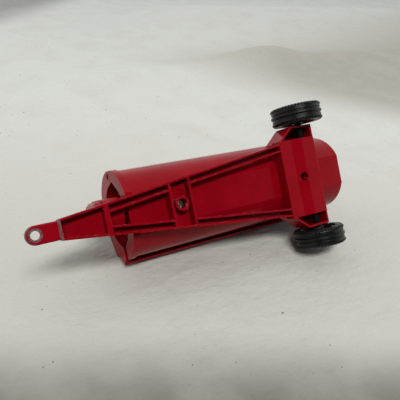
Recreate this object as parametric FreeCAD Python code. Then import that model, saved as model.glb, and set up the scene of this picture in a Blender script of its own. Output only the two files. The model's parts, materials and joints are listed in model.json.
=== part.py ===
"""Toy side-discharge trailer: a die-cast V-frame on two wheels that carries a round body
with a full-length hinged lid, a beater rotor inside and a drive case at the front.

Millimetres. +X points forward to the hitch, +Y to the trailer's left, +Z up.  The origin lies
on the ground under the middle of the bounding box.  Stations along the trailer are measured
rearward from the centre of the hitch eye, and x_at() turns a station into X.
"""
import FreeCAD
import Part
import math
import os

V = FreeCAD.Vector

# ---- hitch tongue -------------------------------------------------------------------------
EYE_RADIUS = 4.6             # the tongue is as wide as its round end
EYE_HOLE_RADIUS = 2.15
EYE_EDGE_CHAMFER = 0.6
TONGUE_THICKNESS = 2.6
TONGUE_STEP = 0.5            # the tray's nose stands this much below the tongue

# ---- V-frame ------------------------------------------------------------------------------
NOSE_STATION = 11.0
NOSE_HALF_WIDTH = 5.1
ARM_SPREAD = 0.129           # outward run of each arm per millimetre of length
FRAME_DEPTH = 7.0
FRAME_WEB = 1.2
FLANGE_THICKNESS = 1.1
RAIL_INSET = 4.4             # outer face of the flange to the middle of the inner rail
RAIL_THICKNESS = 1.1
HITCH_WALL_STATION = 34.2
HITCH_WALL_THICKNESS = 2.6
SCREW_BAY_FRONT = 69.4
SCREW_BAY_REAR = 81.2
CROSS_WALL_THICKNESS = 1.2
FRONT_SCREW_STATION = 75.2
BOSS_RADIUS = 4.0
BOSS_COUNTERBORE_RADIUS = 2.7
BOSS_RIB_THICKNESS = 0.9
BOSS_RIB_DEPTH = 4.0

# ---- axle beam and wheel brackets -----------------------------------------------------------
BEAM_FRONT = 147.0
BEAM_SLOPE_START = 156.2
BEAM_RIDGE = 163.4
BEAM_REAR = 173.5
BEAM_HALF_WIDTH = 24.1
BEAM_DROP = 1.5              # the rear half of the beam hangs this much lower
REAR_SCREW_STATION = 160.8
BEAM_COUNTERBORE_RADIUS = 2.8
BRACKET_ROOT_HALF_WIDTH = 23.2
BRACKET_HALF_WIDTH = 32.2
BRACKET_SHOULDER = 158.0     # station where the slanted front wall meets the outer wall
BRACKET_WALL = 1.2
BRACKET_HEIGHT = 16.0
BRACKET_EDGE_ROUND = 2.4

# ---- wheels -----------------------------------------------------------------------------------
WHEEL_RADIUS = 16.0
WHEEL_STATION = 168.0
AXLE_RISE = 4.0              # axle above the lower edges of the frame
AXLE_RADIUS = 2.0
TYRE_WIDTH = 11.0
TYRE_GAP = 1.7               # bracket wall to tyre
TYRE_GROOVE_DEPTH = 1.1
TYRE_RIB_WIDTH = 1.9
TYRE_GROOVE_WIDTH = 1.5
TYRE_SHOULDER_DROP = 0.55    # shoulder ribs below the centre rib
RIM_RADIUS = 10.4
RIM_LIP = 1.3
RIM_SEAT_CLEARANCE = 0.05
HUB_DISC = 3.0
HUB_BOSS_RADIUS = 3.7
HUB_HOLES = 10
HUB_HOLE_RADIUS = 1.2
HUB_HOLE_CIRCLE = 7.2
AXLE_CAP_RADIUS = 3.2
AXLE_CAP_THICKNESS = 1.4

# ---- round body ---------------------------------------------------------------------------
BODY_RADIUS = 25.1
BODY_WALL = 1.6
BODY_FLAT_HALF_WIDTH = 9.5   # half the width of the flat on which the body sits
BODY_LENGTH = 152.5
BODY_FRONT = 47.1
DISCHARGE_LIP_DROP = 4.4     # right-hand lip below the body axis
POST_RADIUS = 3.2
POST_HEIGHT = 5.5

# ---- end rings and end walls ----------------------------------------------------------------
RING_STEP = 0.8              # front ring proud of the round body; the rear one is flush
RING_DEPTH = 3.5             # length of each end ring ahead of the shell
RING_WIDTH = 7.5             # round body's outside to the ring's opening
RING_BORE_DROP = 0.8         # the ring's opening is centred this far below the body axis
HOLLOW_POINT = 1.7           # the opening runs out this much further to a point either side
HOLLOW_POINT_DROP = 3.6
RING_SLOT_DROP = 6.0         # lower side of the slot through each ring, on the right
WALL_RECESS = 3.0            # end wall's outer face behind the ring, inside the shell
WALL_THICKNESS = 1.5

# ---- lid ------------------------------------------------------------------------------------
PIN_INSET = 2.5              # hinge pin inside the round body's left edge
PIN_RISE = 1.6               # and above it
PIN_RADIUS = 1.0
PIN_SINK = 0.5               # pin end below the ring's outer face
PIN_GRIP = 4.0               # length of the pin inside the lid's knuckle
PIN_COUNTERBORE_RADIUS = 1.8
PIN_COUNTERBORE_DEPTH = 0.9
KNUCKLE_RADIUS = 2.2
LID_RING_DROP = 1.2          # right-hand end of the lid's rings below the body axis
FLARE_START_RISE = 10.4
FLARE_REACH = 3.7            # lid's flared edge beyond the round body
FLARE_TIP_RISE = 2.7
EAR_INSET = 1.0              # corner of the ear on each of the lid's end rings
EAR_RISE = 15.6

# ---- rotor and drive ------------------------------------------------------------------------
SHAFT_RADIUS = 2.0
SHAFT_NOSE = 6.0             # shaft length ahead of the front end wall
BUSH_RADIUS = 3.6
BUSH_STAND = 1.0             # how far a bush stands out of the wall, towards the rotor
PADDLES = 6
PADDLE_REACH = 14.5
PADDLE_THICKNESS = 1.8
PADDLE_GAP = 8.0             # bare shaft between one paddle and the next
PADDLE_TURN = 50.0           # degrees from one paddle to the next
COLLAR_ACROSS_FLATS = 8.0
CASE_OFFSET = 1.1            # drive case to the left of the body axis
CASE_RADIUS = 9.4
CASE_LENGTH = 9.1
CASE_GAP = 2.4               # groove between the case and the end ring
CASE_NECK_RADIUS = 8.0
COVER_STEP = 0.7
COVER_LENGTH = 3.7
COVER_EDGE_CHAMFER = 1.6

# ---- screws and clearances ------------------------------------------------------------------
SCREW_RADIUS = 1.4
SCREW_HEAD_RADIUS = 2.3
SCREW_HEAD_HEIGHT = 1.4
SCREW_SLOT_WIDTH = 0.7
SCREW_SLOT_DEPTH = 0.6
SCREW_SEAT = 2.2             # metal left between a screw head and the body
RUNNING_CLEARANCE = 0.05
FIXED_CLEARANCE = 0.03
FREE_GAP = 0.3

# ---- heights and places that follow -----------------------------------------------------------
FRAME_BOTTOM = WHEEL_RADIUS - AXLE_RISE
FRAME_TOP = FRAME_BOTTOM + FRAME_DEPTH
BODY_FLAT_DEPTH = math.sqrt(BODY_RADIUS ** 2 - BODY_FLAT_HALF_WIDTH ** 2)
BODY_AXIS = FRAME_TOP + BODY_FLAT_DEPTH
BODY_REAR = BODY_FRONT + BODY_LENGTH
RING_RADIUS = BODY_RADIUS + RING_STEP
REAR_RING_RADIUS = BODY_RADIUS
RING_BORE_RADIUS = BODY_RADIUS - RING_WIDTH
HOLLOW_POINT_REACH = RING_BORE_RADIUS + HOLLOW_POINT
PIN_OFFSET = BODY_RADIUS - PIN_INSET
FLARE_TIP_OFFSET = BODY_RADIUS + FLARE_REACH
EAR_OFFSET = BODY_RADIUS - EAR_INSET
MID_STATION = (BODY_REAR - EYE_RADIUS) / 2
SHELL_FRONT = BODY_FRONT + RING_DEPTH
SHELL_REAR = BODY_REAR - RING_DEPTH
WALL_FRONT = SHELL_FRONT + WALL_RECESS
WALL_REAR = SHELL_REAR - WALL_RECESS
INNER_FRONT = WALL_FRONT + WALL_THICKNESS
INNER_REAR = WALL_REAR - WALL_THICKNESS
TYRE_INNER = BRACKET_HALF_WIDTH + TYRE_GAP
TYRE_OUTER = TYRE_INNER + TYRE_WIDTH


def x_at(station):
    """X of a station measured rearward from the hitch eye."""
    return MID_STATION - station


def arm_half_width(station):
    """Half the width over the frame's outer flanges."""
    return NOSE_HALF_WIDTH + ARM_SPREAD * (station - NOSE_STATION)


# ---- small builders -----------------------------------------------------------------------------
def plan_prism(points, bottom, top):
    """Upright prism on a plan outline of (station, y) points."""
    corners = [V(x_at(station), y, bottom) for station, y in points]
    face = Part.Face(Part.makePolygon(corners + corners[:1]))
    return face.extrude(V(0, 0, top - bottom))


def section_prism(points, front, rear):
    """Prism along the trailer on (y, z) points, from the front station to the rear one."""
    corners = [V(x_at(rear), y, z) for y, z in points]
    face = Part.Face(Part.makePolygon(corners + corners[:1]))
    return face.extrude(V(rear - front, 0, 0))


def rod_along(front, rear, radius, y=0.0, z=BODY_AXIS):
    """Cylinder along the trailer between two stations."""
    return Part.makeCylinder(radius, rear - front, V(x_at(rear), y, z), V(1, 0, 0))


def rod_across(inner, outer, radius, station=WHEEL_STATION, z=WHEEL_RADIUS):
    """Cylinder across the trailer between two values of y."""
    return Part.makeCylinder(radius, outer - inner, V(x_at(station), inner, z), V(0, 1, 0))


def rod_up(station, bottom, top, radius):
    """Upright cylinder on the trailer's middle plane."""
    return Part.makeCylinder(radius, top - bottom, V(x_at(station), 0, bottom))


def box_between(front, rear, right, left, bottom, top):
    """Box between two stations, two values of y and two heights."""
    return Part.makeBox(rear - front, left - right, top - bottom, V(x_at(rear), right, bottom))


def band(front, rear, inner, outer, bottom, top, side):
    """Prism between two stations and two functions of the station, on one side."""
    outline = [(front, side * inner(front)), (rear, side * inner(rear)),
               (rear, side * outer(rear)), (front, side * outer(front))]
    return plan_prism(outline, bottom, top)


def mirrored(shape):
    """The same shape on the other side of the trailer."""
    return shape.mirror(V(0, 0, 0), V(0, 1, 0))


# ---- chassis ------------------------------------------------------------------------------------
def flange_inner(station):
    return arm_half_width(station) - FLANGE_THICKNESS


def rail_outer(station):
    return arm_half_width(station) - RAIL_INSET + RAIL_THICKNESS / 2


def rail_inner(station):
    return arm_half_width(station) - RAIL_INSET - RAIL_THICKNESS / 2


def nothing(station):
    return 0.0


def tongue():
    """Flat drawbar end with its eye, up to the nose of the tray."""
    bottom = FRAME_BOTTOM + TONGUE_STEP
    eye = rod_up(0, bottom, bottom + TONGUE_THICKNESS, EYE_RADIUS)
    root = NOSE_STATION + FLANGE_THICKNESS
    blade = box_between(0, root, -EYE_RADIUS, EYE_RADIUS, bottom, bottom + TONGUE_THICKNESS)
    plate = eye.fuse(blade).removeSplitter()
    rims = [edge for edge in plate.Edges
            if edge.BoundBox.ZLength < 0.01 and edge.BoundBox.XMax > x_at(root) + 0.01]
    return plate.makeChamfer(EYE_EDGE_CHAMFER, rims)


def v_frame():
    """Inverted tray: two channel-section arms, cross walls and open bays between them."""
    frame = plan_prism([(NOSE_STATION, -NOSE_HALF_WIDTH), (NOSE_STATION, NOSE_HALF_WIDTH),
                        (BEAM_FRONT, arm_half_width(BEAM_FRONT)),
                        (BEAM_FRONT, -arm_half_width(BEAM_FRONT))], FRAME_BOTTOM, FRAME_TOP)
    web_bottom = FRAME_TOP - FRAME_WEB
    hitch_wall_front = HITCH_WALL_STATION - HITCH_WALL_THICKNESS / 2
    hitch_wall_rear = HITCH_WALL_STATION + HITCH_WALL_THICKNESS / 2
    half_wall = CROSS_WALL_THICKNESS / 2
    trays = [(NOSE_STATION + FLANGE_THICKNESS, hitch_wall_front),
             (SCREW_BAY_FRONT + half_wall, SCREW_BAY_REAR - half_wall)]
    bays = [(hitch_wall_rear, SCREW_BAY_FRONT - half_wall),
            (SCREW_BAY_REAR + half_wall, BEAM_FRONT)]
    cuts = []
    for side in (1, -1):
        for front, rear in trays:
            cuts.append(band(front, rear, nothing, flange_inner, FRAME_BOTTOM, web_bottom, side))
        for front, rear in bays:
            cuts.append(band(front, rear, rail_outer, flange_inner, FRAME_BOTTOM, web_bottom, side))
            cuts.append(band(front, rear, nothing, rail_inner, FRAME_BOTTOM, FRAME_TOP, side))
    return frame.cut(cuts)


def screw_boss():
    """Round boss in the screw bay, with a rib to the wall on either side."""
    boss = rod_up(FRONT_SCREW_STATION, FRAME_BOTTOM, FRAME_TOP, BOSS_RADIUS)
    rib = box_between(SCREW_BAY_FRONT, SCREW_BAY_REAR, -BOSS_RIB_THICKNESS / 2,
                      BOSS_RIB_THICKNESS / 2, FRAME_TOP - BOSS_RIB_DEPTH, FRAME_TOP)
    return boss.fuse(rib)


def axle_beam():
    """Cross beam whose rear half hangs lower and carries the axle."""
    low = FRAME_BOTTOM - BEAM_DROP
    outline = [(BEAM_FRONT, FRAME_TOP), (BEAM_FRONT, FRAME_BOTTOM),
               (BEAM_SLOPE_START, FRAME_BOTTOM), (BEAM_RIDGE, low),
               (BEAM_REAR, low), (BEAM_REAR, FRAME_TOP)]
    corners = [V(x_at(station), -BEAM_HALF_WIDTH, z) for station, z in outline]
    face = Part.Face(Part.makePolygon(corners + corners[:1]))
    return face.extrude(V(0, 2 * BEAM_HALF_WIDTH, 0))


def wheel_bracket():
    """Left wheel bracket: a box open below, its front wall slanted, its inner side a saddle."""
    saddle_root = BODY_FLAT_HALF_WIDTH
    rear = BEAM_REAR + BRACKET_WALL
    top = FRAME_BOTTOM + BRACKET_HEIGHT
    outline = [(BEAM_FRONT, saddle_root), (BEAM_FRONT, BRACKET_ROOT_HALF_WIDTH),
               (BRACKET_SHOULDER, BRACKET_HALF_WIDTH), (rear, BRACKET_HALF_WIDTH),
               (rear, saddle_root)]
    block = plan_prism(outline, FRAME_BOTTOM, top)
    inside = BRACKET_HALF_WIDTH - BRACKET_WALL
    top_edges = [edge for edge in block.Edges if edge.BoundBox.ZMin > top - 0.01
                 and edge.BoundBox.YMax > BRACKET_ROOT_HALF_WIDTH + 0.1]
    block = block.makeFillet(BRACKET_EDGE_ROUND, top_edges)
    slant = math.hypot(BRACKET_SHOULDER - BEAM_FRONT, BRACKET_HALF_WIDTH - BRACKET_ROOT_HALF_WIDTH)
    run = (BRACKET_SHOULDER - BEAM_FRONT) / (BRACKET_HALF_WIDTH - BRACKET_ROOT_HALF_WIDTH)
    wall_shift = BRACKET_WALL * slant / (BRACKET_HALF_WIDTH - BRACKET_ROOT_HALF_WIDTH)
    front_inner = BEAM_FRONT + wall_shift + run * (BEAM_HALF_WIDTH - BRACKET_ROOT_HALF_WIDTH)
    front_outer = BEAM_FRONT + wall_shift + run * (inside - BRACKET_ROOT_HALF_WIDTH)
    pocket = plan_prism([(front_inner, BEAM_HALF_WIDTH), (front_outer, inside),
                         (BEAM_REAR, inside), (BEAM_REAR, BEAM_HALF_WIDTH)],
                        FRAME_BOTTOM - BEAM_DROP, top - BRACKET_WALL)
    return block.cut(pocket)


def body_envelope(growth=0.0):
    """Solid outline of the round body with its flat, grown by a clearance."""
    drum = rod_along(BODY_FRONT - EYE_RADIUS, BODY_REAR + EYE_RADIUS, BODY_RADIUS + growth)
    under = box_between(BODY_FRONT - 2 * EYE_RADIUS, BODY_REAR + 2 * EYE_RADIUS, -RING_RADIUS,
                        RING_RADIUS, BODY_AXIS - 2 * RING_RADIUS, FRAME_TOP)
    return drum.cut(under)


def chassis():
    bracket = wheel_bracket()
    casting = v_frame().fuse([tongue(), screw_boss(), axle_beam(), bracket, mirrored(bracket)])
    head_seat = FRAME_TOP - SCREW_SEAT
    hole = SCREW_RADIUS + FREE_GAP
    low = FRAME_BOTTOM - BEAM_DROP
    cuts = [body_envelope(FIXED_CLEARANCE),
            rod_up(0, FRAME_BOTTOM, FRAME_TOP, EYE_HOLE_RADIUS),
            rod_up(FRONT_SCREW_STATION, FRAME_BOTTOM, head_seat, BOSS_COUNTERBORE_RADIUS),
            rod_up(FRONT_SCREW_STATION, FRAME_BOTTOM, FRAME_TOP, hole),
            rod_up(REAR_SCREW_STATION, low, head_seat, BEAM_COUNTERBORE_RADIUS),
            rod_up(REAR_SCREW_STATION, low, FRAME_TOP, hole),
            rod_across(-BRACKET_HALF_WIDTH, BRACKET_HALF_WIDTH, AXLE_RADIUS + FIXED_CLEARANCE)]
    return casting.cut(cuts).removeSplitter()


# ---- round body -----------------------------------------------------------------------------------
def flattened_drum(front, rear, radius, flat_depth):
    """Cylinder along the trailer with a flat cut on its underside."""
    drum = rod_along(front, rear, radius)
    under = box_between(front, rear, -radius, radius, BODY_AXIS - 2 * radius,
                        BODY_AXIS - flat_depth)
    return drum.cut(under)


def drum_shell():
    """Lower half of the body, open above, with the discharge lip on its right."""
    outer = flattened_drum(SHELL_FRONT, SHELL_REAR, BODY_RADIUS, BODY_FLAT_DEPTH)
    inner = flattened_drum(SHELL_FRONT, SHELL_REAR, BODY_RADIUS - BODY_WALL,
                           BODY_FLAT_DEPTH - BODY_WALL)
    reach = 2 * BODY_RADIUS
    above_lip = box_between(SHELL_FRONT, SHELL_REAR, -reach, 0, BODY_AXIS - DISCHARGE_LIP_DROP,
                            BODY_AXIS + reach)
    edge_height = BODY_AXIS + PIN_RISE - KNUCKLE_RADIUS - FREE_GAP
    above_hinge = box_between(SHELL_FRONT, SHELL_REAR, 0, reach, edge_height, BODY_AXIS + reach)
    knuckle_room = hinge_rod(SHELL_FRONT, SHELL_REAR, KNUCKLE_RADIUS + FREE_GAP)
    shell = outer.cut([inner, above_lip, above_hinge, knuckle_room])
    floor = FRAME_TOP + BODY_WALL
    posts = [rod_up(station, FRAME_TOP + BODY_WALL / 2, floor + POST_HEIGHT, POST_RADIUS)
             for station in (FRONT_SCREW_STATION, REAR_SCREW_STATION)]
    bores = [rod_up(station, FRAME_TOP, floor + POST_HEIGHT - BODY_WALL,
                    SCREW_RADIUS + FIXED_CLEARANCE)
             for station in (FRONT_SCREW_STATION, REAR_SCREW_STATION)]
    return shell.fuse(posts).cut(bores).removeSplitter()


def hinge_rod(front, rear, radius):
    """Cylinder on the axis of the lid's hinge."""
    return rod_along(front, rear, radius, PIN_OFFSET, BODY_AXIS + PIN_RISE)


def end_hollow(front, rear):
    """Round opening of an end ring, drawn out to a point on either side."""
    centre = BODY_AXIS - RING_BORE_DROP
    point = V(HOLLOW_POINT_REACH, RING_BORE_DROP - HOLLOW_POINT_DROP, 0)
    reach = math.acos(RING_BORE_RADIUS / point.Length)
    towards = math.atan2(point.y, point.x)
    touches = [(RING_BORE_RADIUS * math.cos(towards + turn),
                centre + RING_BORE_RADIUS * math.sin(towards + turn)) for turn in (reach, -reach)]
    corner = section_prism([(point.x, centre + point.y), touches[0], (0, centre), touches[1]],
                           front, rear)
    return rod_along(front, rear, RING_BORE_RADIUS, 0, centre).fuse([corner, mirrored(corner)])


def ring_blank(radius, front, rear):
    """Full end ring with its opening, before it is parted into the body's and the lid's."""
    return flattened_drum(front, rear, radius, BODY_FLAT_DEPTH).cut(end_hollow(front, rear))


def hinge_eye_radius(radius):
    """Radius of the rounded end of the lid's ring about the hinge pin."""
    return radius - math.hypot(PIN_OFFSET, PIN_RISE)


def end_plate(radius):
    """Front end of the body: the lower part of the ring and a deep-set wall, in one piece."""
    reach = 2 * radius
    eye = hinge_eye_radius(radius) + FREE_GAP
    seam = BODY_AXIS + PIN_RISE - eye
    front, rear = BODY_FRONT, SHELL_FRONT
    ring = ring_blank(radius, front, rear)
    ring = ring.cut([box_between(front, rear, 0, reach, seam, BODY_AXIS + reach),
                     box_between(front, rear, -reach, 0, BODY_AXIS - RING_SLOT_DROP,
                                 BODY_AXIS + reach),
                     hinge_rod(front, rear, eye)])
    wall = flattened_drum(SHELL_FRONT, INNER_FRONT, BODY_RADIUS - BODY_WALL - FREE_GAP,
                          BODY_FLAT_DEPTH - BODY_WALL - FIXED_CLEARANCE)
    hollow = end_hollow(SHELL_FRONT, WALL_FRONT)
    pin_ear = hinge_rod(SHELL_FRONT, INNER_FRONT, KNUCKLE_RADIUS)
    end = ring.fuse([wall.cut(hollow), pin_ear])
    return end.cut([rod_along(WALL_FRONT, INNER_FRONT, BUSH_RADIUS + FIXED_CLEARANCE),
                    hinge_rod(SHELL_FRONT, INNER_FRONT, PIN_RADIUS + FIXED_CLEARANCE)])


def turned_to_rear(shape):
    """A front-end piece of the body reflected to the rear end."""
    return shape.mirror(V(x_at((BODY_FRONT + BODY_REAR) / 2), 0, 0), V(1, 0, 0))


# ---- lid --------------------------------------------------------------------------------------------
def flare_points():
    """Outer start, outer tip, inner tip and inner root of the lid's flared edge."""
    start = V(-math.sqrt(BODY_RADIUS ** 2 - FLARE_START_RISE ** 2), FLARE_START_RISE, 0)
    tip = V(-FLARE_TIP_OFFSET, FLARE_TIP_RISE, 0)
    along = (tip - start).normalize()
    inward = V(-along.y, along.x, 0)
    return start, tip, tip + inward * BODY_WALL, start + inward * BODY_WALL


def lid_ring(radius):
    """Upper part of the front end ring, with the ear at its right-hand end."""
    reach = 2 * radius
    front = BODY_FRONT
    rear = SHELL_FRONT - FREE_GAP
    eye = hinge_eye_radius(radius)
    seam = BODY_AXIS + PIN_RISE - eye
    start, tip, inner_tip, root = flare_points()
    corner_angle = math.atan2(EAR_RISE, -EAR_OFFSET)
    touch = corner_angle - math.acos(radius / math.hypot(EAR_OFFSET, EAR_RISE))
    foot = start + (tip - start) * ((EAR_OFFSET + start.x) / (start.x - tip.x))
    ear_outline = [(radius * math.cos(touch), BODY_AXIS + radius * math.sin(touch)),
                   (-EAR_OFFSET, BODY_AXIS + EAR_RISE),
                   (-EAR_OFFSET, BODY_AXIS + foot.y), (tip.x, BODY_AXIS + tip.y),
                   (inner_tip.x, BODY_AXIS + inner_tip.y),
                   (-RING_BORE_RADIUS, BODY_AXIS - LID_RING_DROP),
                   (-RING_BORE_RADIUS, BODY_AXIS + RING_BORE_RADIUS / 2)]
    ear = section_prism(ear_outline, front, rear)
    ring = ring_blank(radius, front, rear).cut([
        box_between(front, rear, 0, reach, BODY_AXIS - reach, seam),
        box_between(front, rear, -reach, 0, BODY_AXIS - reach, BODY_AXIS - LID_RING_DROP),
        box_between(front, rear, PIN_OFFSET, reach, BODY_AXIS - reach, BODY_AXIS + PIN_RISE)])
    ring = ring.fuse([ear.cut(end_hollow(front, rear)), hinge_rod(front, rear, eye)])
    return ring.cut([hinge_rod(front, rear, PIN_RADIUS + RUNNING_CLEARANCE),
                     hinge_rod(front, front + PIN_COUNTERBORE_DEPTH, PIN_COUNTERBORE_RADIUS)])


def lid():
    """Upper part of the body: curved sheet, knuckle on the left, flare on the right, two rings."""
    front = SHELL_FRONT - FREE_GAP
    rear = SHELL_REAR + FREE_GAP
    sheet = rod_along(front, rear, BODY_RADIUS).cut(rod_along(front, rear, BODY_RADIUS - BODY_WALL))
    reach = 2 * BODY_RADIUS
    below_hinge = box_between(front, rear, 0, reach, BODY_AXIS - reach, BODY_AXIS + PIN_RISE)
    below_flare = box_between(front, rear, -reach, 0, BODY_AXIS - reach,
                              BODY_AXIS + FLARE_START_RISE)
    sheet = sheet.cut([below_hinge, below_flare])
    start, tip, inner_tip, root = flare_points()
    inner_start = V(-math.sqrt((BODY_RADIUS - BODY_WALL) ** 2 - FLARE_START_RISE ** 2),
                    FLARE_START_RISE, 0)
    flare_outline = [(p.x, BODY_AXIS + p.y) for p in (start, tip, inner_tip, root, inner_start)]
    flare = section_prism(flare_outline, front, rear)
    knuckle = hinge_rod(front, rear, KNUCKLE_RADIUS)
    bore_depth = INNER_FRONT + PIN_GRIP + FREE_GAP - front
    ear_room = KNUCKLE_RADIUS + FREE_GAP
    cuts = [hinge_rod(front, INNER_FRONT + FREE_GAP, ear_room),
            hinge_rod(INNER_REAR - FREE_GAP, rear, ear_room),
            hinge_rod(front, front + bore_depth, PIN_RADIUS + RUNNING_CLEARANCE),
            hinge_rod(rear - bore_depth, rear, PIN_RADIUS + RUNNING_CLEARANCE)]
    cover = sheet.fuse([flare, knuckle]).cut(cuts)
    rings = [lid_ring(RING_RADIUS), turned_to_rear(lid_ring(REAR_RING_RADIUS))]
    return cover.fuse(rings).removeSplitter()


def front_hinge_pin():
    """Pin through the lid's ring and the end wall into the lid's knuckle."""
    return hinge_rod(BODY_FRONT + PIN_SINK, INNER_FRONT + PIN_GRIP, PIN_RADIUS)


# ---- rotor and drive ----------------------------------------------------------------------------------
def rotor_shaft():
    return rod_along(WALL_FRONT - SHAFT_NOSE, WALL_REAR, SHAFT_RADIUS)


def rotor_paddles():
    """Flat paddles on hexagonal collars, one after another along the shaft."""
    front = INNER_FRONT + BUSH_STAND + 2 * FREE_GAP
    rear = INNER_REAR - BUSH_STAND - 2 * FREE_GAP
    pitch = (rear - front + PADDLE_GAP) / PADDLES
    length = pitch - PADDLE_GAP
    corner = COLLAR_ACROSS_FLATS / math.sqrt(3)
    outline = [(corner * math.cos(math.radians(60 * number)),
                BODY_AXIS + corner * math.sin(math.radians(60 * number)))
               for number in range(6)]
    paddles = []
    for number in range(PADDLES):
        start = front + pitch * number
        blade = box_between(start, start + length, -PADDLE_THICKNESS / 2, PADDLE_THICKNESS / 2,
                            BODY_AXIS - PADDLE_REACH, BODY_AXIS + PADDLE_REACH)
        corners = [edge for edge in blade.Edges if edge.BoundBox.YLength > PADDLE_THICKNESS / 2]
        blade = blade.makeChamfer(length / 4, corners)
        collar = section_prism(outline, start, start + length)
        bore = rod_along(start, start + length, SHAFT_RADIUS + FIXED_CLEARANCE)
        paddle = collar.fuse(blade).cut(bore).removeSplitter()
        paddle.rotate(V(0, 0, BODY_AXIS), V(1, 0, 0), PADDLE_TURN * number)
        paddles.append(paddle)
    return paddles


def front_bush():
    """Plain bush in the front end wall."""
    sleeve = rod_along(WALL_FRONT, INNER_FRONT + BUSH_STAND, BUSH_RADIUS)
    return sleeve.cut(rod_along(WALL_FRONT, INNER_FRONT + BUSH_STAND,
                                SHAFT_RADIUS + RUNNING_CLEARANCE))


def obround(front, rear, radius, low):
    """Upright round-ended block; its upper round is level with the body axis."""
    lower_axis = low + radius
    upper = rod_along(front, rear, radius, CASE_OFFSET, BODY_AXIS)
    lower = rod_along(front, rear, radius, CASE_OFFSET, lower_axis)
    middle = box_between(front, rear, CASE_OFFSET - radius, CASE_OFFSET + radius, lower_axis,
                         BODY_AXIS)
    return upper.fuse([lower, middle]).removeSplitter()


def drive_case():
    """Case ahead of the front end, with a round neck through the ring to the end wall."""
    rear = BODY_FRONT - CASE_GAP
    case = obround(rear - CASE_LENGTH, rear, CASE_RADIUS, FRAME_TOP)
    neck = rod_along(rear, WALL_FRONT, CASE_NECK_RADIUS)
    shaft_room = rod_along(WALL_FRONT - SHAFT_NOSE - FREE_GAP, WALL_FRONT,
                           SHAFT_RADIUS + FREE_GAP)
    return case.fuse(neck).cut(shaft_room).removeSplitter()


def drive_cover():
    """Smaller round-edged cover on the front of the drive case."""
    rear = BODY_FRONT - CASE_GAP - CASE_LENGTH
    front = rear - COVER_LENGTH
    cover = obround(front, rear, CASE_RADIUS - COVER_STEP, FRAME_TOP + COVER_STEP)
    rims = [edge for edge in cover.Edges if edge.BoundBox.XMin > x_at(front) - 0.01]
    return cover.makeChamfer(COVER_EDGE_CHAMFER, rims)


# ---- wheels -----------------------------------------------------------------------------------------
def wheel_profile(points):
    """Left-hand wheel piece turned about the axle from (radius, y) points."""
    corners = [V(x_at(WHEEL_STATION), y, WHEEL_RADIUS + radius) for radius, y in points]
    face = Part.Face(Part.makePolygon(corners + corners[:1]))
    return face.revolve(V(x_at(WHEEL_STATION), 0, WHEEL_RADIUS), V(0, 1, 0), 360)


def left_tyre():
    """Tyre with a proud centre rib, a groove on either side of it and lower shoulder ribs."""
    middle = (TYRE_INNER + TYRE_OUTER) / 2
    shoulder = WHEEL_RADIUS - TYRE_SHOULDER_DROP
    groove = WHEEL_RADIUS - TYRE_GROOVE_DEPTH
    half_rib = TYRE_RIB_WIDTH / 2
    half_groove = half_rib + TYRE_GROOVE_WIDTH
    half = TYRE_WIDTH / 2
    bead = RIM_RADIUS + RIM_SEAT_CLEARANCE
    side = [(bead, half), (shoulder - 1.4, half), (shoulder, half - 1.2), (shoulder, half_groove),
            (groove, half_rib + 0.2), (WHEEL_RADIUS, half_rib - 0.2)]
    outline = [(radius, middle + y) for radius, y in side]
    outline += [(radius, middle - y) for radius, y in reversed(side)]
    return wheel_profile(outline)


def left_hub():
    """Dished wheel disc with a round boss, a rim and a ring of holes."""
    middle = (TYRE_INNER + TYRE_OUTER) / 2
    rim_half = TYRE_WIDTH / 2 - 0.9
    rim_inner = RIM_RADIUS - RIM_LIP
    bore = AXLE_RADIUS + RUNNING_CLEARANCE
    outer = TYRE_OUTER - AXLE_CAP_THICKNESS - FREE_GAP
    outline = [(bore, TYRE_INNER), (HUB_BOSS_RADIUS, TYRE_INNER),
               (HUB_BOSS_RADIUS, middle - HUB_DISC / 2), (rim_inner, middle - HUB_DISC / 2),
               (rim_inner, middle - rim_half), (RIM_RADIUS, middle - rim_half),
               (RIM_RADIUS, middle + rim_half), (rim_inner, middle + rim_half),
               (rim_inner, middle + HUB_DISC / 2), (HUB_BOSS_RADIUS, middle + HUB_DISC / 2),
               (HUB_BOSS_RADIUS, outer), (bore, outer)]
    hub = wheel_profile(outline)
    hole = rod_across(middle - HUB_DISC, middle + HUB_DISC, HUB_HOLE_RADIUS,
                      WHEEL_STATION, WHEEL_RADIUS + HUB_HOLE_CIRCLE)
    holes = []
    for number in range(HUB_HOLES):
        turned = hole.copy()
        turned.rotate(V(x_at(WHEEL_STATION), 0, WHEEL_RADIUS), V(0, 1, 0),
                      360.0 * number / HUB_HOLES)
        holes.append(turned)
    return hub.cut(holes)


def axle():
    """Steel rod across the beam, one wheel on either end."""
    end = TYRE_OUTER - AXLE_CAP_THICKNESS / 2
    return rod_across(-end, end, AXLE_RADIUS)


def left_axle_cap():
    """Push-on cap that keeps the left wheel on the axle."""
    cap = rod_across(TYRE_OUTER - AXLE_CAP_THICKNESS, TYRE_OUTER, AXLE_CAP_RADIUS)
    rims = [edge for edge in cap.Edges if edge.BoundBox.YMin > TYRE_OUTER - 0.01]
    cap = cap.makeChamfer(AXLE_CAP_THICKNESS / 2, rims)
    return cap.cut(rod_across(0, TYRE_OUTER - AXLE_CAP_THICKNESS / 2,
                              AXLE_RADIUS + FIXED_CLEARANCE))


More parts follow.
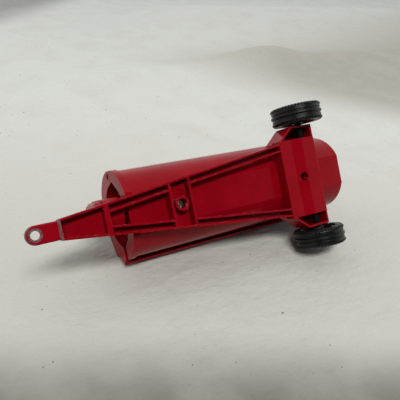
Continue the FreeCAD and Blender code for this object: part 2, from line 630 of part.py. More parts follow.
# ---- screws -----------------------------------------------------------------------------------------
def body_screw(station):
    """Slotted screw up through the chassis into a post of the body."""
    seat = FRAME_TOP - SCREW_SEAT
    head = rod_up(station, seat - SCREW_HEAD_HEIGHT, seat, SCREW_HEAD_RADIUS)
    shank = rod_up(station, seat, FRAME_TOP + POST_HEIGHT - BODY_WALL, SCREW_RADIUS)
    low = seat - SCREW_HEAD_HEIGHT
    slot = box_between(station - SCREW_SLOT_WIDTH / 2, station + SCREW_SLOT_WIDTH / 2,
                       -SCREW_HEAD_RADIUS, SCREW_HEAD_RADIUS, low, low + SCREW_SLOT_DEPTH)
    return head.fuse(shank).cut(slot).removeSplitter()


def parts():
    """Every node of the trailer by name."""
    pin = front_hinge_pin()
    sleeve = front_bush()
    tyre = left_tyre()
    hub = left_hub()
    cap = left_axle_cap()
    nodes = {
        "chassis": chassis(),
        "drum_shell": drum_shell(),
        "front_end_plate": end_plate(RING_RADIUS),
        "rear_end_plate": turned_to_rear(end_plate(REAR_RING_RADIUS)),
        "lid": lid(),
        "front_hinge_pin": pin,
        "rear_hinge_pin": turned_to_rear(pin),
        "rotor_shaft": rotor_shaft(),
        "front_bush": sleeve,
        "rear_bush": turned_to_rear(sleeve),
        "drive_case": drive_case(),
        "drive_cover": drive_cover(),
        "axle": axle(),
        "left_tyre": tyre,
        "left_hub": hub,
        "left_axle_cap": cap,
        "right_tyre": mirrored(tyre),
        "right_hub": mirrored(hub),
        "right_axle_cap": mirrored(cap),
        "front_body_screw": body_screw(FRONT_SCREW_STATION),
        "rear_body_screw": body_screw(REAR_SCREW_STATION),
    }
    for number, paddle in enumerate(rotor_paddles()):
        nodes["rotor_paddle_%d" % (number + 1)] = paddle
    return nodes


os.makedirs("parts", exist_ok=True)
for name, shape in parts().items():
    shape.exportStep(os.path.join("parts", name + ".step"))
    box = shape.BoundBox
    print("%-18s solids %d valid %s  x %.1f %.1f  y %.1f %.1f  z %.1f %.1f" % (
        name, len(shape.Solids), shape.isValid(), box.XMin, box.XMax, box.YMin, box.YMax,
        box.ZMin, box.ZMax))
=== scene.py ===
# %% [markdown]
# # A die-cast toy trailer, tipped on its side
# The toy is a red enamelled trailer: a round body with a hinged lid, carried on a V-shaped frame
# with two small rubber-tyred wheels.  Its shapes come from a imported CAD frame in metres, with +X
# towards the hitch, +Y to the trailer's left and +Z up.  This lesson dresses that frame: it gives
# every surface its own finish and adds the tyres and screws that are too fine for the CAD.

# %% Open the frame
import bmesh
import bpy
import json
import math
from mathutils import Matrix, Vector

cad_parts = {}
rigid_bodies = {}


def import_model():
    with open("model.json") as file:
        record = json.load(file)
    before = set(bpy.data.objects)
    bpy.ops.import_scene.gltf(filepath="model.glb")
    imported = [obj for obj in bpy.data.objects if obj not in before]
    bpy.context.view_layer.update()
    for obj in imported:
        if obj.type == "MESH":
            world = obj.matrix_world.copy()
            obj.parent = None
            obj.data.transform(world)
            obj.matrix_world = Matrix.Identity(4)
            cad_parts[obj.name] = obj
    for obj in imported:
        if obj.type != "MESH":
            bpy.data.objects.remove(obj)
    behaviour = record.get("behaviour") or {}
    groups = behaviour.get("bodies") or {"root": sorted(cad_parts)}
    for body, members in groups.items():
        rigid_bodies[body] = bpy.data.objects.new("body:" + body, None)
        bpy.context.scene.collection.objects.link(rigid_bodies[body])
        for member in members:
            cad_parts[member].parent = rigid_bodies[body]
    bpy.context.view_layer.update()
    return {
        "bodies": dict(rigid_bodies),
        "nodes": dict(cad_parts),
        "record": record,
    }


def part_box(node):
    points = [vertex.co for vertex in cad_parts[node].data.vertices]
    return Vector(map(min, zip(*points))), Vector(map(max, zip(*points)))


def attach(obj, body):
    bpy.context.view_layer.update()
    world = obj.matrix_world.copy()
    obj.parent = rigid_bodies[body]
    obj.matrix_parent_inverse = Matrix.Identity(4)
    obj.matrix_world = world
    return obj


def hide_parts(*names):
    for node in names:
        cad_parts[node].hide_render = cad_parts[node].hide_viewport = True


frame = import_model()
nodes = frame["nodes"]
scene = bpy.context.scene
MM = 0.001
print("bodies:", ", ".join(sorted(frame["bodies"])), "| nodes:", len(nodes))

# %% [markdown]
# ## The camera
# The toy lies on its right side and the camera looks at its underside, from ahead of the hitch
# and a little above.  A camera in Blender looks along its own -Z with its +Y up, so
# `to_track_quat` can aim it at a target, and a roll about its own Z then turns the picture.

# %% Camera
CAMERA_PLACE = Vector((0.11815, 0.00706, -0.19165))
CAMERA_TARGET = Vector((0.0076, -0.0006, 0.02))
CAMERA_ROLL = math.radians(-98.0)
LENS_MM = 37.94
SENSOR_MM = 36.0


def add_camera(place, target, roll):
    """Camera at a place, aimed at a target, and rolled about its own line of sight."""
    data = bpy.data.cameras.new("camera")
    data.sensor_width = SENSOR_MM
    data.lens = LENS_MM
    data.clip_start = 0.01
    data.clip_end = 20.0
    camera = bpy.data.objects.new("camera", data)
    scene.collection.objects.link(camera)
    aim = (target - place).to_track_quat("-Z", "Y").to_matrix().to_4x4()
    camera.matrix_world = Matrix.Translation(place) @ aim @ Matrix.Rotation(roll, 4, "Z")
    scene.camera = camera


add_camera(CAMERA_PLACE, CAMERA_TARGET, CAMERA_ROLL)
print("the camera is %.0f mm from its target" % ((CAMERA_TARGET - CAMERA_PLACE).length / MM))

# %% [markdown]
# ## Helpers for materials
# Each finish below is one material built from a few nodes.  Patterns read Object coordinates in
# metres, so a noise scale of 1000 has features about a millimetre across.  `MaterialKit` keeps
# the node code short: it adds a node, sets its properties and feeds its inputs, and it has a
# short name for each sum, ramp and mask that the finishes share.

# %% Material helper
class MaterialKit:
    """One material with a Principled shader, and short ways to add nodes to it."""

    def __init__(self, name):
        self.material = bpy.data.materials.new(name)
        self.material.use_nodes = True
        self.tree = self.material.node_tree
        self.shader = self.tree.nodes["Principled BSDF"]
        self.place = self.node("ShaderNodeTexCoord").outputs["Object"]

    def join(self, socket, source):
        """Link another node's output to an input socket, or set a plain value there."""
        if isinstance(source, bpy.types.NodeSocket):
            self.tree.links.new(source, socket)
        else:
            socket.default_value = source

    def node(self, kind, inputs=None, **settings):
        """New node; settings are its properties, inputs feed its sockets by name or number."""
        made = self.tree.nodes.new(kind)
        for name, value in settings.items():
            setattr(made, name, value)
        for socket, source in (inputs or {}).items():
            self.join(made.inputs[socket], source)
        return made

    def feed(self, name, source):
        """Feed one input of the material's shader."""
        self.join(self.shader.inputs[name], source)

    def noise(self, scale, detail=3.0, stretch=(1.0, 1.0, 1.0), roughness=0.5):
        """Noise of a given scale, drawn out along each axis where stretch is below 1."""
        drawn_out = self.node("ShaderNodeMapping", {"Vector": self.place, "Scale": stretch})
        made = self.node("ShaderNodeTexNoise", {"Vector": drawn_out.outputs[0], "Scale": scale,
                                                "Detail": detail, "Roughness": roughness})
        return made.outputs["Fac"]

    def steps(self, source, low, high, start=0.0, end=1.0, smooth="LINEAR"):
        """Map low..high of a pattern onto start..end, clamped."""
        return self.node("ShaderNodeMapRange", {"Value": source, "From Min": low,
                                                "From Max": high, "To Min": start,
                                                "To Max": end},
                         interpolation_type=smooth).outputs[0]

    def calculate(self, operation, first, second):
        """Math node on two patterns or plain values, with its result held within 0..1."""
        return self.node("ShaderNodeMath", {0: first, 1: second}, operation=operation,
                         use_clamp=True).outputs[0]

    def plus(self, first, second):
        return self.calculate("ADD", first, second)

    def minus(self, first, second):
        return self.calculate("SUBTRACT", first, second)

    def times(self, first, second):
        return self.calculate("MULTIPLY", first, second)

    def dot(self, first, second):
        """Dot product of two directions or places."""
        return self.node("ShaderNodeVectorMath", {0: first, 1: second},
                         operation="DOT_PRODUCT").outputs["Value"]

    def mix(self, factor, first, second):
        """Blend of two colours."""
        return self.node("ShaderNodeMix", {0: factor, 6: first, 7: second},
                         data_type="RGBA").outputs[2]

    def rounded(self, radius):
        """Normal that rounds every edge by a radius, as paint or moulding does."""
        return self.node("ShaderNodeBevel", {"Radius": radius}, samples=6).outputs[0]

    def edges(self, radius, low, high):
        """Mask that is 1 along outer and inner edges: where the rounded normal turns away."""
        true_normal = self.node("ShaderNodeNewGeometry").outputs["Normal"]
        return self.steps(self.dot(self.rounded(radius), true_normal), low, high, 1.0, 0.0)

    def between(self, low, high, blur):
        """Mask of a slice across X, from low to high, with soft sides."""
        x = self.node("ShaderNodeSeparateXYZ", {"Vector": self.place}).outputs["X"]
        return self.times(self.steps(x, low - blur, low + blur),
                          self.steps(x, high - blur, high + blur, 1.0, 0.0))

    def within(self, centre, radius, blur):
        """Mask of an upright cylinder round a centre."""
        offset = self.node("ShaderNodeVectorMath", {0: self.place, 1: centre},
                           operation="SUBTRACT").outputs[0]
        flat = self.node("ShaderNodeVectorMath", {0: offset, 1: (1.0, 1.0, 0.0)},
                         operation="MULTIPLY").outputs[0]
        away = self.node("ShaderNodeVectorMath", {0: flat}, operation="LENGTH").outputs["Value"]
        return self.steps(away, radius - blur, radius + blur, 1.0, 0.0)

    def bump(self, height, strength, distance, normal=None):
        """Normal tilted by a height pattern, on top of another normal where one is given."""
        inputs = {"Height": height, "Strength": strength, "Distance": distance}
        if normal is not None:
            inputs["Normal"] = normal
        return self.node("ShaderNodeBump", inputs).outputs[0]


def rgb(red, green, blue):
    """Colour with full alpha, from linear values."""
    return (red, green, blue, 1.0)


# %% [markdown]
# ## Where the hitch has rubbed
# A drawbar pin and a tractor's plate have rubbed the paint off the drawbar's eye, round the tip
# and along the step behind it, down to dull grey.  Such wear follows use and not shape, so its
# mask is drawn from plain forms: a ring, a rim and a slice, all made ragged by one noise.  The
# eye's place and bore come from the record's mount, so the wear stays on it.

# %% Hitch wear
hitch_eye = next(mount for mount in frame["record"]["mounts"] if mount["name"] == "hitch_eye")
EYE = Vector(hitch_eye["pos_m"])
EYE_RADIUS = hitch_eye["dims"]["r_mm"] * MM
EYE_RING = EYE_RADIUS + 1.1 * MM
TIP_RIM = EYE_RADIUS + 1.85 * MM
STEP_X = EYE.x - 11.0 * MM


def hitch_rubs(kit):
    """Where the drawbar pin and the tractor have rubbed: the eye, its tip and the tongue's step."""
    ragged = kit.steps(kit.noise(900.0, 4.0), 0.36, 0.52)
    eye = kit.within(EYE, EYE_RING, 0.15 * MM)
    rim = kit.times(kit.minus(1.0, kit.within(EYE, TIP_RIM, 0.2 * MM)),
                    kit.between(EYE.x + 0.5 * MM, EYE.x + 9.0 * MM, 0.8 * MM))
    step = kit.between(STEP_X - 0.75 * MM, STEP_X + 0.45 * MM, 0.18 * MM)
    return kit.times(kit.plus(kit.plus(eye, rim), step), ragged)


print("the hitch has rubbed within %.2f mm of its eye and at x = %.4f" % (EYE_RING / MM, STEP_X))

# %% [markdown]
# ## Red enamel
# The castings are dipped in a glossy crimson enamel.  It has a faint orange-peel skin, slightly
# rounded edges where the paint pulled back, edges rubbed to a paler, duller red, and small chips
# that show bare zinc.  The paler edges are partly real rubbing and partly painted highlight: they
# stand in for the thin pale lines that light draws along the edges.  The Bevel node finds those
# edges: where its rounded normal leaves the true one there is an edge, and a noise decides which
# stretches of it are rubbed or chipped.

# %% Red enamel
ENAMEL_RED = rgb(0.285, 0.0012, 0.0085)
ENAMEL_DEEP = rgb(0.240, 0.0008, 0.0060)
ENAMEL_WORN_AND_HIGHLIGHT = rgb(0.30, 0.040, 0.045)
RUBBED_GREY = rgb(0.125, 0.112, 0.110)
BARE_ZINC = rgb(0.42, 0.40, 0.38)
PAINT_ROUNDING = 0.4 * MM
RUB_AND_HIGHLIGHT_REACH = 0.45 * MM
CHIP_REACH = 0.3 * MM


def red_enamel(name, wear_and_highlight, gloss, hitch_wear=False):
    """Crimson enamel; the edge amount is how much of the edges is rubbed, as wear and as painted
    highlight, and gloss its base roughness.
    """
    kit = MaterialKit(name)
    cloud = kit.steps(kit.noise(70.0, 4.0), 0.35, 0.68)
    paint = kit.mix(cloud, ENAMEL_DEEP, ENAMEL_RED)
    if hitch_wear:
        paint = kit.mix(hitch_rubs(kit), paint, RUBBED_GREY)
    patchy = kit.steps(kit.noise(260.0, 5.0, roughness=0.65), 0.62 - wear_and_highlight, 0.70 - wear_and_highlight)
    rubbed = kit.times(kit.edges(RUB_AND_HIGHLIGHT_REACH, 0.80, 0.97), patchy)
    # Rubbed edges turn a paler red: partly real wear, partly a painted highlight along the edges.
    paint = kit.mix(rubbed, paint, ENAMEL_WORN_AND_HIGHLIGHT)
    chipped = kit.steps(kit.noise(420.0, 4.0, roughness=0.6), 0.70 - wear_and_highlight, 0.73 - wear_and_highlight)
    bare = kit.times(kit.edges(CHIP_REACH, 0.72, 0.92), chipped)
    kit.feed("Base Color", kit.mix(bare, paint, BARE_ZINC))
    kit.feed("Metallic", kit.times(bare, 0.8))
    haze = kit.steps(kit.noise(38.0, 5.0), 0.35, 0.75, gloss, gloss + 0.10)
    kit.feed("Roughness", kit.plus(haze, kit.times(rubbed, 0.3)))
    kit.feed("Specular IOR Level", 0.11)
    peel = kit.noise(900.0, 2.0)
    grit = kit.steps(kit.noise(2600.0, 2.0), 0.62, 0.80)
    skin = kit.bump(peel, 0.10, 0.2 * MM, kit.rounded(PAINT_ROUNDING))
    kit.feed("Normal", kit.bump(grit, 0.12, 0.06 * MM, skin))
    return kit.material


# The frame's edges are rubbed most, which also paints pale highlights along its rails.
frame_enamel = red_enamel("frame_enamel", 0.105, 0.15, hitch_wear=True)
body_enamel = red_enamel("body_enamel", 0.075, 0.15)
case_enamel = red_enamel("case_enamel", 0.06, 0.18)
print("enamels:", frame_enamel.name, body_enamel.name, case_enamel.name)

# %% [markdown]
# ## Rubber and plastic
# The tyres are black rubber with a grey bloom in broad patches.  The wheels and the rotor inside
# are a moulded black plastic, a shade lighter and less porous.  Near-black surfaces show mostly
# their highlights, so what sets the two apart is roughness and bump more than colour.

# %% Rubber and plastic
def tyre_rubber():
    kit = MaterialKit("tyre_rubber")
    bloom = kit.steps(kit.noise(180.0, 5.0, roughness=0.7), 0.38, 0.75)
    kit.feed("Base Color", kit.mix(bloom, rgb(0.0020, 0.0024, 0.0028), rgb(0.0056, 0.0062, 0.0068)))
    kit.feed("Roughness", kit.steps(kit.noise(420.0, 4.0), 0.3, 0.7, 0.28, 0.46))
    kit.feed("Specular IOR Level", 0.30)
    pores = kit.noise(2400.0, 3.0)
    kit.feed("Normal", kit.bump(pores, 0.22, 0.08 * MM, kit.rounded(0.3 * MM)))
    return kit.material


def moulded_black():
    kit = MaterialKit("moulded_black")
    flow = kit.steps(kit.noise(120.0, 4.0), 0.35, 0.7)
    kit.feed("Base Color", kit.mix(flow, rgb(0.006, 0.0065, 0.007), rgb(0.012, 0.013, 0.014)))
    kit.feed("Roughness", kit.steps(kit.noise(300.0, 3.0), 0.3, 0.7, 0.32, 0.48))
    grain = kit.noise(1800.0, 2.0)
    kit.feed("Normal", kit.bump(grain, 0.12, 0.06 * MM, kit.rounded(0.25 * MM)))
    return kit.material


rubber = tyre_rubber()
black_plastic = moulded_black()
print("dark finishes:", rubber.name, black_plastic.name)

# %% [markdown]
# ## Steel
# The body screws are plated and have gone slightly green, and the rotor's shaft is drawn steel.
# The axle rod is coloured nearly black as painted shade, so that it reads as the deep shade of the
# pocket it runs through.  All three come from one function.  Worked metal has fine lines, so its
# noise is drawn out along one axis: X on the shaft, Y on the axle and Z on the screws.

# %% Steel
def steel(name, light, dark, metallic, rough, stretch, specular=0.5):
    """Steel with fine lines along the axis where stretch is smallest."""
    kit = MaterialKit(name)
    lines = kit.noise(2200.0, 3.0, stretch)
    stains = kit.steps(kit.noise(650.0, 5.0), 0.42, 0.68)
    kit.feed("Base Color", kit.mix(stains, light, dark))
    kit.feed("Metallic", metallic)
    kit.feed("Specular IOR Level", specular)
    kit.feed("Roughness", kit.steps(lines, 0.3, 0.7, rough, rough + 0.18))
    kit.feed("Normal", kit.bump(lines, 0.10, 0.04 * MM, kit.rounded(0.15 * MM)))
    return kit.material


plated_steel = steel("plated_steel", rgb(0.30, 0.40, 0.35), rgb(0.06, 0.09, 0.08), 1.0, 0.20,
                     (1.0, 1.0, 0.08))
shaft_steel = steel("shaft_steel", rgb(0.46, 0.44, 0.42), rgb(0.25, 0.22, 0.20), 1.0, 0.30,
                    (0.04, 1.0, 1.0))
# The axle's near-black colour is painted shade for the deep pocket round it.
dark_steel = steel("dark_steel", rgb(0.0035, 0.003, 0.003), rgb(0.008, 0.004, 0.003), 0.0, 0.62,
                   (1.0, 0.04, 1.0), specular=0.08)
print("steels:", plated_steel.name, shaft_steel.name, dark_steel.name)

# %% [markdown]
# ## A finish for each node
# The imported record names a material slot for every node.  Here each slot gets its finish, and a
# node's own slots are filled, never its mesh.

# %% Assign finishes
SLOT_FINISHES = {"frame_paint": frame_enamel, "body_paint": body_enamel,
                 "red_plastic": case_enamel, "black_plastic": black_plastic,
                 "tyre_rubber": rubber, "bare_steel": shaft_steel, "dark_steel": dark_steel}
slot_of = {entry["node"]: entry["material_slot"] for entry in frame["record"]["subparts"]}


def finish(piece, material):
    """Give a piece one material, whatever slots it came with."""
    piece.data.materials.clear()
    piece.data.materials.append(material)


for name, node in nodes.items():
    finish(node, SLOT_FINISHES[slot_of[name]])
print("finished", len(nodes), "nodes")

# %% [markdown]
# ## Tyres
# A tyre here has a narrow proud rib round its middle, a groove either side of it, and lower
# shoulders whose outer corners carry small lugs.  A lathe shape is what `bmesh.ops.spin` is for:
# half a section is drawn from the bead to the middle of the tread, mirrored, and spun about the
# axle.  Every other face of the corner band is then extruded on its own and becomes a lug.

# %% Tyre
axle_low, axle_high = (Vector(corner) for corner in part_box("axle"))
AXLE = (axle_low + axle_high) / 2
TYRE_STEPS = 96
BEAD_RADIUS = 10.45 * MM
RIB_RISE = 0.55 * MM
GROOVE_DEPTH = 0.45 * MM
LUG_HEIGHT = 0.55 * MM
LUG_RADIUS = 14.6 * MM  # lugs stand on faces beyond this radius,
LUG_BAND = (0.35, 0.47)  # and this far from the tyre's middle, as a share of its width


def new_piece(name, mesh_build, material):
    """Object whose mesh is filled by a bmesh-building function."""
    shape = bmesh.new()
    mesh_build(shape)
    mesh = bpy.data.meshes.new(name)
    shape.to_mesh(mesh)
    shape.free()
    piece = bpy.data.objects.new(name, mesh)
    scene.collection.objects.link(piece)
    finish(piece, material)
    return piece


def spin_section(shape, points, closed, axis_place, axis, steps):
    """Join points in a line or a ring, and spin it once round an axis into a clean skin."""
    ends = points[1:] + points[:1] if closed else points[1:]
    lines = [shape.edges.new(pair) for pair in zip(points, ends)]
    bmesh.ops.spin(shape, geom=points + lines, cent=axis_place, axis=axis, angle=2 * math.pi,
                   steps=steps, use_merge=True)
    bmesh.ops.remove_doubles(shape, verts=shape.verts, dist=1e-6)
    bmesh.ops.recalc_face_normals(shape, faces=shape.faces)


def tyre_section(width, radius):
    """Half section of the tyre, from the bead out and in to the middle of the tread."""
    bead = BEAD_RADIUS
    half = width / 2
    shoulder = radius - RIB_RISE
    groove = shoulder - GROOVE_DEPTH
    return [(bead, half - 1.5 * MM), (bead + 0.5 * MM, half - 0.35 * MM),
            (bead + 1.3 * MM, half - 0.05 * MM), (bead + 2.4 * MM, half),
            (shoulder - 2.0 * MM, half - 0.05 * MM), (shoulder - 1.0 * MM, half - 0.45 * MM),
            (shoulder - 0.15 * MM, half - 1.2 * MM), (shoulder, half - 1.7 * MM),
            (shoulder, 1.95 * MM), (groove, 1.65 * MM), (groove, 1.15 * MM),
            (radius - 0.3 * MM, 0.8 * MM), (radius, 0.5 * MM), (radius, 0.0)]


def build_tyre(shape, side):
    low, high = (Vector(corner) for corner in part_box(side + "_tyre"))
    middle = (low.y + high.y) / 2
    width = high.y - low.y
    half = tyre_section(width, high.z - AXLE.z)
    section = half + [(radius, -y) for radius, y in reversed(half[:-1])]
    points = [shape.verts.new((AXLE.x, middle + y, AXLE.z + radius)) for radius, y in section]
    spin_section(shape, points, True, (AXLE.x, 0, AXLE.z), (0, 1, 0), TYRE_STEPS)
    raise_lugs(shape, middle, width)


def raise_lugs(shape, middle, width):
    """Lift every other face of the shoulder's corner band into a small lug."""
    band = []
    for face in shape.faces:
        centre = face.calc_center_median()
        radius = math.hypot(centre.x - AXLE.x, centre.z - AXLE.z)
        out = abs(centre.y - middle) / width
        if radius > LUG_RADIUS and LUG_BAND[0] < out < LUG_BAND[1]:
            turn = math.atan2(centre.z - AXLE.z, centre.x - AXLE.x) / (2 * math.pi)
            if int(round(turn * TYRE_STEPS - 0.5)) % 2 == 0:
                band.append(face)
    for face in band:
        face.normal_update()
    lifted = bmesh.ops.extrude_discrete_faces(shape, faces=band)["faces"]
    for face in lifted:
        bmesh.ops.translate(shape, verts=face.verts, vec=face.normal * LUG_HEIGHT)
    print("raised", len(lifted), "lugs on a tyre's shoulders")


for side in ("left", "right"):
    tyre = new_piece(side + "_ribbed_tyre", lambda shape: build_tyre(shape, side), rubber)
    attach(tyre, side + "_wheel")
    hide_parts(side + "_tyre")

# %% [markdown]
# ## Body screws
# Two screws hold the body to the frame, and their heads show at the bottom of a dark hole.  Each
# is turned from one section: low domed head, seat, and a shank whose zigzag is the thread.  A
# driver slot is cut by bisecting the dome on both sides of the slot and sinking the strip
# between, which keeps the skin closed.

# %% Screws
SHANK_RADIUS = 1.4 * MM
HEAD_HEIGHT = 1.4 * MM
THREAD_PITCH = 0.6 * MM
THREAD_DEPTH = 0.28 * MM
SLOT_HALF_WIDTH = 0.35 * MM
SLOT_DEPTH = 0.75 * MM
STRIP_REACH = 0.3 * MM  # faces whose middle is this near the slot's are sunk
SCREW_STEPS = 40


def screw_section(head, bottom, top):
    """Section of a screw, as radius and height, from the head's middle to the shank's tip."""
    seat = bottom + HEAD_HEIGHT
    root = SHANK_RADIUS - THREAD_DEPTH
    section = [(0.0, bottom), (head * 0.45, bottom + 0.02 * MM), (head * 0.8, bottom + 0.18 * MM),
               (head, bottom + 0.6 * MM), (head, seat), (SHANK_RADIUS, seat)]
    height = seat + 0.5 * MM
    while height + THREAD_PITCH < top - 0.6 * MM:
        section += [(root, height), (SHANK_RADIUS, height + THREAD_PITCH / 2)]
        height += THREAD_PITCH
    return section + [(root, height), (0.0, top)]


def cut_slot(shape, x, y, bottom):
    """Sink a strip of the head, between two planes across X, to the slot's depth."""
    for offset in (-SLOT_HALF_WIDTH, SLOT_HALF_WIDTH):
        everything = shape.verts[:] + shape.edges[:] + shape.faces[:]
        bmesh.ops.bisect_plane(shape, geom=everything, plane_co=(x + offset, y, bottom),
                               plane_no=(1, 0, 0))
    strip = [face for face in shape.faces
             if abs(face.calc_center_median().x - x) < STRIP_REACH
             and face.calc_center_median().z < bottom + 0.55 * MM]
    sunk = bmesh.ops.extrude_face_region(shape, geom=strip)["geom"]
    bmesh.ops.delete(shape, geom=strip, context="FACES")
    for vert in sunk:
        if isinstance(vert, bmesh.types.BMVert):
            vert.co.z = bottom + SLOT_DEPTH


def build_screw(shape, node):
    low, high = (Vector(corner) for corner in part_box(node))
    x = (low.x + high.x) / 2
    y = (low.y + high.y) / 2
    section = screw_section((high.x - low.x) / 2, low.z, high.z)
    points = [shape.verts.new((x + radius, y, height)) for radius, height in section]
    spin_section(shape, points, False, (x, y, 0), (0, 0, 1), SCREW_STEPS)
    cut_slot(shape, x, y, low.z)


for node in ("front_body_screw", "rear_body_screw"):
    screw = new_piece(node + "_turned", lambda shape: build_screw(shape, node), plated_steel)
    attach(screw, "trailer")
    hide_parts(node)
    print(screw.name, "has", len(screw.data.polygons), "faces")

# %% [markdown]
# ## How the toy lies
# The toy rests on the corner of its lid's end rings and on its right tyre, so the sheet is the
# plane that touches both.  Its tilt is found by halving: lean the plane until the lid and the
# tyre reach it together.  That keeps the contact true if a size of the toy changes.

# %% Resting plane
TILT_HALVINGS = 24
SHEET_GAP = 0.2 * MM


def reach(names, direction):
    """How far the named nodes extend in a direction."""
    return max(vert.co.dot(direction)
               for name in names for vert in nodes[name].data.vertices)


def leaning(tilt):
    """Direction from the toy into the sheet, for a toy tipped to its right by a tilt."""
    return Vector((0.0, -math.sin(tilt), math.cos(tilt)))


low_tilt = math.radians(20.0)
high_tilt = math.radians(80.0)
for halving in range(TILT_HALVINGS):
    tilt = (low_tilt + high_tilt) / 2
    if reach(["lid"], leaning(tilt)) > reach(["right_tyre"], leaning(tilt)):
        low_tilt = tilt
    else:
        high_tilt = tilt
down = leaning(tilt)
floor_distance = reach(["lid", "right_tyre"], down) + SHEET_GAP
print("the sheet's plane leans %.1f degrees" % math.degrees(tilt))

# %% [markdown]
# ## The sheet's folds
# The sheet is a pale cloth with a few long, low folds away from the toy.  It is one grid: each
# fold is a soft ridge along a straight run, so its height fades with the distance from that run.

# %% Folds
cloth_along = Vector((1.0, 0.0, 0.0))
cloth_across = down.cross(cloth_along)
CLOTH_HALF = 1.6
CLOTH_CELLS = 220
CLOTH_SHIFT = (-0.9, 1.1)
FOLDS = [  # start and end as (along, across), width, rise; all in metres
    ((-0.02, 0.30), (-0.30, 0.335), 0.045, 0.012),
    ((-0.28, 0.33), (-0.75, 0.30), 0.06, 0.020),
    ((0.04, 0.55), (0.03, 0.26), 0.030, 0.007),
    ((0.02, 0.24), (-0.02, 0.15), 0.020, 0.003),
    ((-0.30, 0.60), (-0.90, 0.62), 0.10, 0.030)]


def fold_height(along, across):
    """Height of the folds at a place on the cloth."""
    height = 0.0
    for start, end, width, rise in FOLDS:
        run = (end[0] - start[0], end[1] - start[1])
        length = math.hypot(*run)
        share = ((along - start[0]) * run[0] + (across - start[1]) * run[1]) / length ** 2
        share = min(1.0, max(0.0, share))
        gap = math.hypot(along - start[0] - share * run[0], across - start[1] - share * run[1])
        height += rise * math.exp(-(gap / width) ** 2)
    return height


def build_cloth(shape):
    bmesh.ops.create_grid(shape, x_segments=CLOTH_CELLS, y_segments=CLOTH_CELLS, size=CLOTH_HALF)
    for vert in shape.verts:
        along = vert.co.x + CLOTH_SHIFT[0]
        across = vert.co.y + CLOTH_SHIFT[1]
        height = fold_height(along, across)
        vert.co = (cloth_along * along + cloth_across * across
                   + down * (floor_distance - height))


highest = max(rise for start, end, width, rise in FOLDS)
print("the cloth has", len(FOLDS), "folds, up to %.0f mm high" % (highest / MM))

# %% [markdown]
# ## The sheet's cloth
# The cloth is off-white.  Shade is painted into its colour: it darkens from its far stretch to its
# middle, a painted shadow darkens it most towards the camera, and painted fold shade darkens a
# wedge beyond the wheels and one far corner.  Those broad changes are smooth ramps across its
# plane.  Crumples, fine creases and threads are three bumps, each on top of the last.  A mix with a
# Transparent shader draws the upper side alone, so that other views can look at the toy from below.

# %% Cloth
FAR_CLOTH = rgb(0.668, 0.676, 0.652)
# Painted shade on the cloth: its middle stretch, and a painted shadow nearest the camera.
MIDDLE_PAINTED_SHADE = rgb(0.540, 0.538, 0.500)
NEAR_PAINTED_SHADOW = rgb(0.190, 0.180, 0.158)
# Painted fold shade: a wedge beyond the wheels and one far corner.
WEDGE_PAINTED_SHADE = rgb(0.44, 0.425, 0.375)
CORNER_PAINTED_SHADE = rgb(0.36, 0.36, 0.355)
STAINED_CLOTH = rgb(0.56, 0.545, 0.505)
SPECK = rgb(0.20, 0.18, 0.16)
# Turns and reaches of the ramps that lay the painted shade on the cloth.
SHADE_DEPTH_TURN = 115.4  # degrees from X: away from the camera
WEDGE_SHADE_SIDES = ((136.3, 0.30, 0.42), (-103.4, -0.43, -0.19))  # turn, start and end of each ramp
CORNER_SHADE_SIDE = (40.6, 0.385, 0.47)


def across_cloth(kit, turn, low, high, start=0.0, end=1.0):
    """Smooth ramp over the cloth, in metres along the direction that is turn degrees from X."""
    angle = math.radians(turn)
    way = cloth_along * math.cos(angle) + cloth_across * math.sin(angle)
    return kit.steps(kit.dot(kit.place, way), low, high, start, end, "SMOOTHSTEP")


def cloth_colour(kit):
    """Colour of the cloth: painted shade from near to far, painted fold shade in the wedge and
    corner, then stains and specks.
    """
    # Painted shade: darker from the far stretch to the middle, and a painted shadow nearest the
    # camera.
    pale = kit.mix(across_cloth(kit, SHADE_DEPTH_TURN, -0.05, 0.26), MIDDLE_PAINTED_SHADE, FAR_CLOTH)
    pale = kit.mix(across_cloth(kit, SHADE_DEPTH_TURN, -0.090, -0.042, 1.0, 0.0), pale, NEAR_PAINTED_SHADOW)
    # Painted fold shade in the wedge and the far corner.
    wedge = kit.times(*(across_cloth(kit, *side) for side in WEDGE_SHADE_SIDES))
    pale = kit.mix(wedge, pale, WEDGE_PAINTED_SHADE)
    pale = kit.mix(across_cloth(kit, *CORNER_SHADE_SIDE), pale, CORNER_PAINTED_SHADE)
    pale = kit.mix(kit.steps(kit.noise(26.0, 5.0), 0.45, 0.75, 0.0, 0.35), pale, STAINED_CLOTH)
    return kit.mix(kit.steps(kit.noise(420.0, 1.0, roughness=0.2), 0.805, 0.82), pale, SPECK)


def sheet_cloth():
    kit = MaterialKit("pale_cloth")
    kit.feed("Base Color", cloth_colour(kit))
    kit.feed("Roughness", 0.95)
    kit.feed("Specular IOR Level", 0.1)
    crumpled = kit.bump(kit.noise(14.0, 4.0), 0.42, 16.0 * MM)
    creases = kit.noise(90.0, 5.0, (0.6, 1.0, 1.0), 0.6)
    creased = kit.bump(creases, 0.50, 4.0 * MM, crumpled)
    threads = kit.noise(1500.0, 2.0, (0.25, 1.0, 1.0))
    kit.feed("Normal", kit.bump(threads, 0.30, 0.3 * MM, creased))
    from_below = kit.node("ShaderNodeNewGeometry").outputs["Backfacing"]
    clear = kit.node("ShaderNodeBsdfTransparent").outputs[0]
    switch = kit.node("ShaderNodeMixShader", {0: from_below, 1: kit.shader.outputs[0], 2: clear})
    kit.join(kit.tree.nodes["Material Output"].inputs["Surface"], switch.outputs[0])
    return kit.material


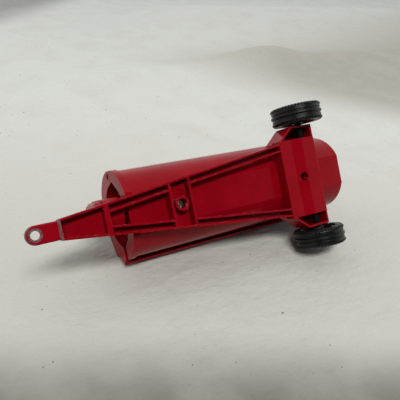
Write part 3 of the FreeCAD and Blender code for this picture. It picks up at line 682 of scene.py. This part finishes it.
sheet = new_piece("pale_sheet", build_cloth, sheet_cloth())
sheet.data.polygons.foreach_set("use_smooth", [True] * len(sheet.data.polygons))
if sheet.data.polygons[0].normal.dot(down) > 0:
    sheet.data.flip_normals()
print("the cloth has", len(sheet.data.polygons), "faces")

# %% [markdown]
# ## The window
# One long window lights the toy's underside, from ahead and from the toy's left, which is up as
# it lies.  An area lamp stands in for it.  It is long in the same way as the drawbar, so the
# drawbar's shadow has firm sides and a soft tip.

# %% Lamp
LAMP_DIRECTION = Vector((0.19, 0.38, -0.90)).normalized()
LAMP_DISTANCE = 2.4
LAMP_LENGTH = 1.2
LAMP_WIDTH = 0.42
LAMP_POWER = 44.0


def add_window(direction):
    """Area lamp that shines back along a direction, with its long side as near X as it can be."""
    data = bpy.data.lights.new("window", "AREA")
    data.shape = "RECTANGLE"
    data.size = LAMP_LENGTH
    data.size_y = LAMP_WIDTH
    data.energy = LAMP_POWER
    data.color = (1.0, 0.985, 0.96)
    lamp = bpy.data.objects.new("window", data)
    scene.collection.objects.link(lamp)
    long_side = (Vector((1.0, 0.0, 0.0)) - direction * direction.x).normalized()
    axes = Matrix((long_side, direction.cross(long_side), direction)).transposed()
    lamp.matrix_world = Matrix.Translation(direction * LAMP_DISTANCE) @ axes.to_4x4()


add_window(LAMP_DIRECTION)
print("the window is %.1f m away and %.1f m long" % (LAMP_DISTANCE, LAMP_LENGTH))

# %% [markdown]
# ## The room
# The rest of the room is pale with one dim side.  Glossy paint mirrors what it faces, and faces
# that look out of the frame's underside face that dim side, so they stay deep red.  The Light
# Path node tells the camera's own rays apart: seen directly, the room is one even grey.

# %% Room
DIM_SIDE = Vector((0.25, 0.0, -0.968)).normalized()
SEEN_GREY = 0.62


def add_room(dim, bright, dim_reach, bright_reach):
    """Pale room with one dim side; the reaches are cosines of the angle from that side."""
    room = bpy.data.worlds.new("room")
    scene.world = room
    room.use_nodes = True
    tree = room.node_tree
    place = tree.nodes.new("ShaderNodeTexCoord")
    facing = tree.nodes.new("ShaderNodeVectorMath")
    facing.operation = "DOT_PRODUCT"
    facing.inputs[1].default_value = DIM_SIDE
    tree.links.new(place.outputs["Generated"], facing.inputs[0])
    fade = tree.nodes.new("ShaderNodeMapRange")
    fade.interpolation_type = "SMOOTHSTEP"
    for socket, value in (("From Min", bright_reach), ("From Max", dim_reach),
                          ("To Min", bright), ("To Max", dim)):
        fade.inputs[socket].default_value = value
    tree.links.new(facing.outputs["Value"], fade.inputs["Value"])
    seen = tree.nodes.new("ShaderNodeMix")
    light_path = tree.nodes.new("ShaderNodeLightPath")
    tree.links.new(light_path.outputs["Is Camera Ray"], seen.inputs[0])
    tree.links.new(fade.outputs[0], seen.inputs[2])
    seen.inputs[3].default_value = SEEN_GREY
    background = tree.nodes["Background"]
    background.inputs["Color"].default_value = rgb(0.98, 1.0, 0.98)
    tree.links.new(seen.outputs[0], background.inputs["Strength"])


add_room(dim=0.015, bright=0.88, dim_reach=0.80, bright_reach=0.33)
scene.view_settings.view_transform = "Standard"
print("view transform:", scene.view_settings.view_transform)
